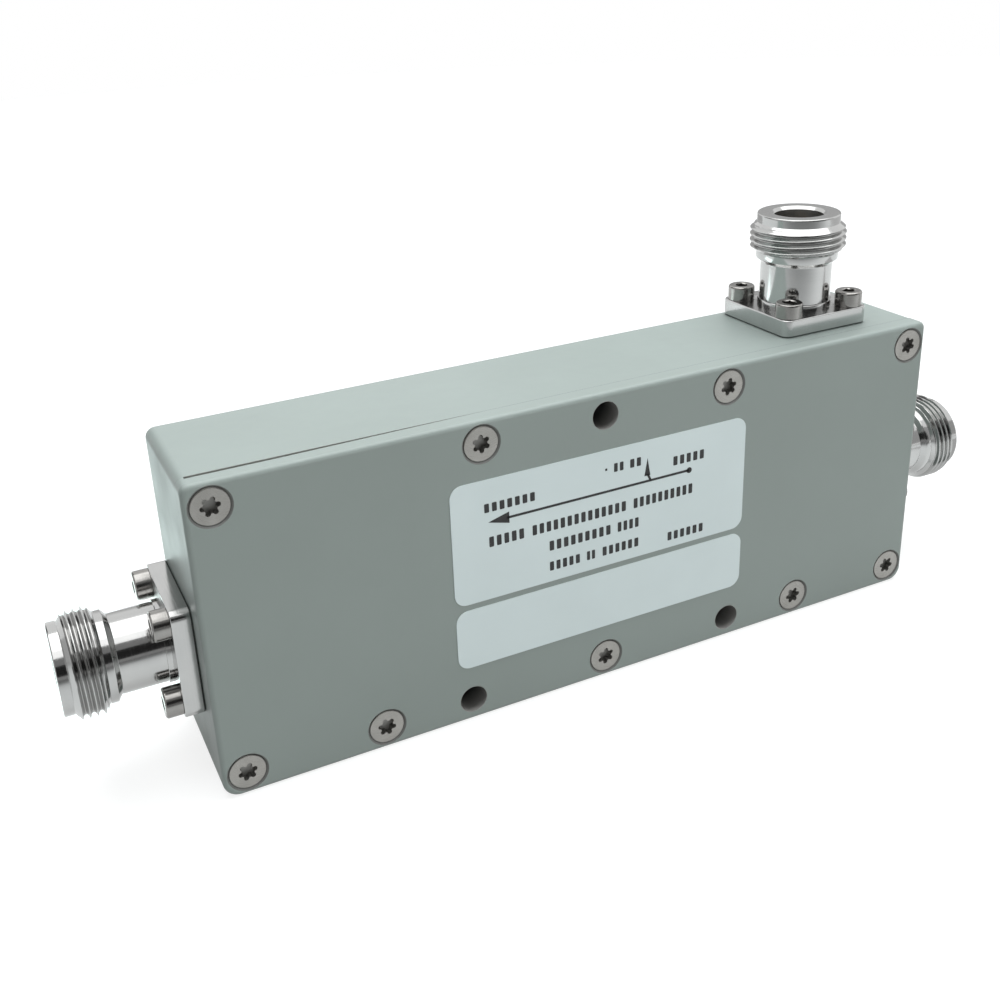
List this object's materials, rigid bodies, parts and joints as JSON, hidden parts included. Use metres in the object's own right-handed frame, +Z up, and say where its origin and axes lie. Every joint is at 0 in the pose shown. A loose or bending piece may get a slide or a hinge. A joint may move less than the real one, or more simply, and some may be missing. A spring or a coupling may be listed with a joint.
{
  "type": "directional coupler",
  "caption": "Coaxial directional coupler: a flat painted metal box with a screwed cover, threaded flange sockets on both ends and on top, and through holes for mounting.",
  "frame": {"origin": "middle of the base, on the surface that the coupler stands on", "axes": "+X along the main line from output to input, +Y from the cover to the back, +Z up towards the coupled port"},
  "size_m": [0.165, 0.0236, 0.0687],
  "materials": {
    "paint": "satin grey-green paint on aluminium",
    "plated_shell": "bright white-bronze plating on turned brass",
    "screw_steel": "satin stainless steel",
    "label": "matt polyester film",
    "contact": "gold plated",
    "insulator": "plain white PTFE",
    "line_bar": "silver plated",
    "load": "glazed ceramic rod"
  },
  "bodies": {
    "root": {"housing": "paint", "cover": "paint", "cover_screws": "screw_steel", "upper_label": "label", "lower_label": "label", "output_shell": "plated_shell", "output_contact": "contact", "output_insulator": "insulator", "output_screws": "screw_steel", "input_shell": "plated_shell", "input_contact": "contact", "input_insulator": "insulator", "input_screws": "screw_steel", "coupled_shell": "plated_shell", "coupled_contact": "contact", "coupled_insulator": "insulator", "coupled_screws": "screw_steel", "main_line": "line_bar", "coupled_line": "line_bar", "main_post_left": "insulator", "main_post_right": "insulator", "coupled_post_left": "insulator", "coupled_post_right": "insulator", "load_resistor": "load"}
  },
  "joints": []
}
